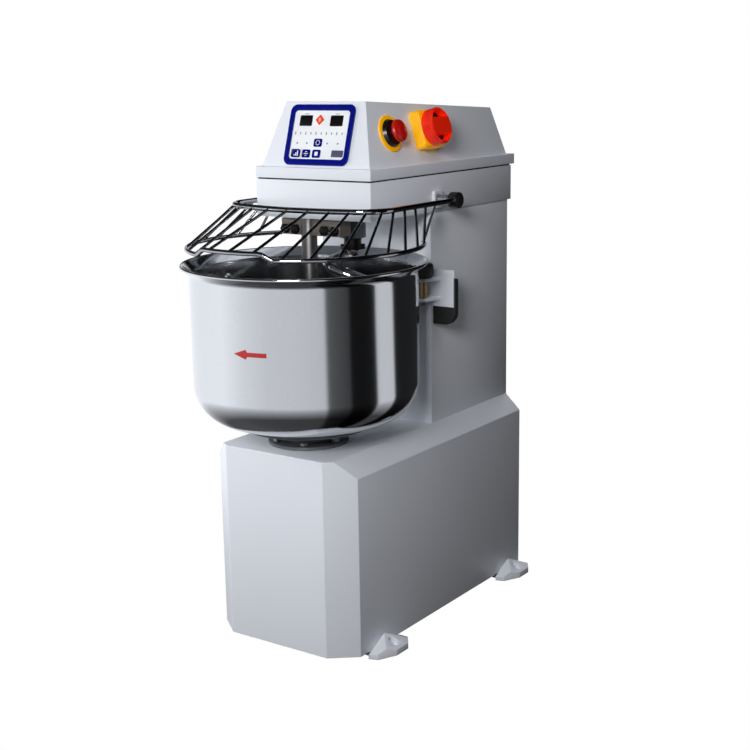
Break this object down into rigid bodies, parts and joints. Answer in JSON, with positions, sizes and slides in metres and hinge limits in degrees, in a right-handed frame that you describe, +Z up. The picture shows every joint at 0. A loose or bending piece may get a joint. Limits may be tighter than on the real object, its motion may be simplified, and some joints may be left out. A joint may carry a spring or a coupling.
{
  "type": "spiral dough mixer",
  "caption": "Floor-standing spiral dough mixer with a turning steel bowl, spiral hook, breaker post, wire guard and sloped control lid.",
  "frame": {"origin": "on the floor, under the middle of the machine's outer box", "axes": "+Z up, front towards -Y, the machine's right side as seen from the front towards +X"},
  "size_m": [0.4319, 0.738, 0.96],
  "materials": {
    "white_paint": "satin",
    "stainless": "satin",
    "polished_steel": "gloss",
    "machined_steel": "satin",
    "dark_steel": "satin",
    "grey_cast": "matte",
    "motor_paint": "satin",
    "black_rubber": "matte",
    "black_plastic": "matte",
    "panel_blue": "gloss",
    "panel_white": "gloss",
    "display_dark": "gloss",
    "switch_yellow": "gloss",
    "switch_red": "gloss",
    "grey_plastic": "matte"
  },
  "bodies": {
    "machine": {"base_shell": "white_paint", "base_floor_plate": "machined_steel", "feet": "white_paint", "foot_bolts": "machined_steel", "rear_covers": "white_paint", "cover_screws": "machined_steel", "column_shell": "white_paint", "frame_bolts": "machined_steel", "head_box": "white_paint", "lid": "white_paint", "lid_gasket": "black_rubber", "panel_frame": "panel_blue", "panel_face": "panel_white", "panel_displays": "display_dark", "panel_keys": "panel_blue", "stop_plate": "switch_yellow", "stop_collar": "black_plastic", "switch_block": "switch_yellow", "guard_hinge_brackets": "white_paint", "guard_pins": "polished_steel", "post_bracket": "machined_steel", "post_clamp": "machined_steel", "post_bolts": "dark_steel", "breaker_post": "stainless", "spindle_housing": "grey_cast", "motor": "motor_paint", "motor_mount_plate": "machined_steel", "drive_belt": "black_rubber", "countershaft_bearings": "grey_cast", "chassis_bridge": "machined_steel", "head_chain": "dark_steel", "base_chain": "dark_steel", "ball_bearings": "machined_steel", "turntable_housing": "grey_cast", "roller_brackets": "white_paint", "roller_buffers": "black_rubber", "roller_pins": "machined_steel", "electrical_box": "grey_plastic", "cable_gland": "black_plastic"},
    "hook_body": {"spindle": "machined_steel", "spindle_pulley": "grey_cast", "spindle_sprocket": "dark_steel", "hook_coupling": "dark_steel", "hook_pin": "dark_steel", "spiral_hook": "stainless"},
    "countershaft_body": {"countershaft": "machined_steel", "countershaft_sprockets": "dark_steel"},
    "bowl_body": {"bowl_shaft": "machined_steel", "bowl_sprocket": "dark_steel", "turntable": "grey_cast", "bowl": "stainless"},
    "motor_rotor": {"motor_pulley": "dark_steel"},
    "roller_right": {"guide_roller_right": "black_rubber"},
    "roller_left": {"guide_roller_left": "black_rubber"},
    "guard": {"guard_end_caps": "black_plastic", "guard_frame": "polished_steel", "guard_ring": "polished_steel", "guard_bars": "polished_steel"},
    "stop_head": {"stop_button": "switch_red"},
    "knob": {"switch_knob": "switch_red"}
  },
  "joints": [
    {"name": "hook_spin", "type": "hinge", "parent": "machine", "child": "hook_body", "pos_m": [0.02, -0.035, 0.72], "axis": [0, 0, -1], "continuous": true},
    {"name": "countershaft_spin", "type": "hinge", "parent": "machine", "child": "countershaft_body", "pos_m": [-0.045, 0.127, 0.4], "axis": [0, 0, -1], "continuous": true},
    {"name": "bowl_spin", "type": "hinge", "parent": "machine", "child": "bowl_body", "pos_m": [0, -0.153, 0.38], "axis": [0, 0, -1], "continuous": true},
    {"name": "motor_spin", "type": "hinge", "parent": "machine", "child": "motor_rotor", "pos_m": [0.02, 0.252, 0.76], "axis": [0, 0, -1], "continuous": true},
    {"name": "roller_right_spin", "type": "hinge", "parent": "machine", "child": "roller_right", "pos_m": [0.12174, 0.033, 0.658], "axis": [0, 0, -1], "continuous": true},
    {"name": "roller_left_spin", "type": "hinge", "parent": "machine", "child": "roller_left", "pos_m": [-0.12174, 0.033, 0.658], "axis": [0, 0, -1], "continuous": true},
    {"name": "guard_lift", "type": "hinge", "parent": "machine", "child": "guard", "pos_m": [0, 0.083, 0.782], "axis": [-1, 0, 0], "range_deg": [0, 65]},
    {"name": "stop_press", "type": "slide", "parent": "machine", "child": "stop_head", "axis": [-0.9638, 0, -0.2668], "range_m": [0, 0.005], "stiffness_N_per_m": 2000, "springref_m": -0.001},
    {"name": "switch_turn", "type": "hinge", "parent": "machine", "child": "knob", "pos_m": [0.1015, 0.074, 0.904], "axis": [-0.9638, 0, -0.2668], "range_deg": [0, 90]}
  ],
  "couplings": [
    {"joint": "countershaft_spin", "follows": "hook_spin", "ratio": 0.34211},
    {"joint": "bowl_spin", "follows": "hook_spin", "ratio": 0.094625},
    {"joint": "motor_spin", "follows": "hook_spin", "ratio": 4},
    {"joint": "roller_right_spin", "follows": "hook_spin", "ratio": -0.86023},
    {"joint": "roller_left_spin", "follows": "hook_spin", "ratio": -0.86023}
  ]
}
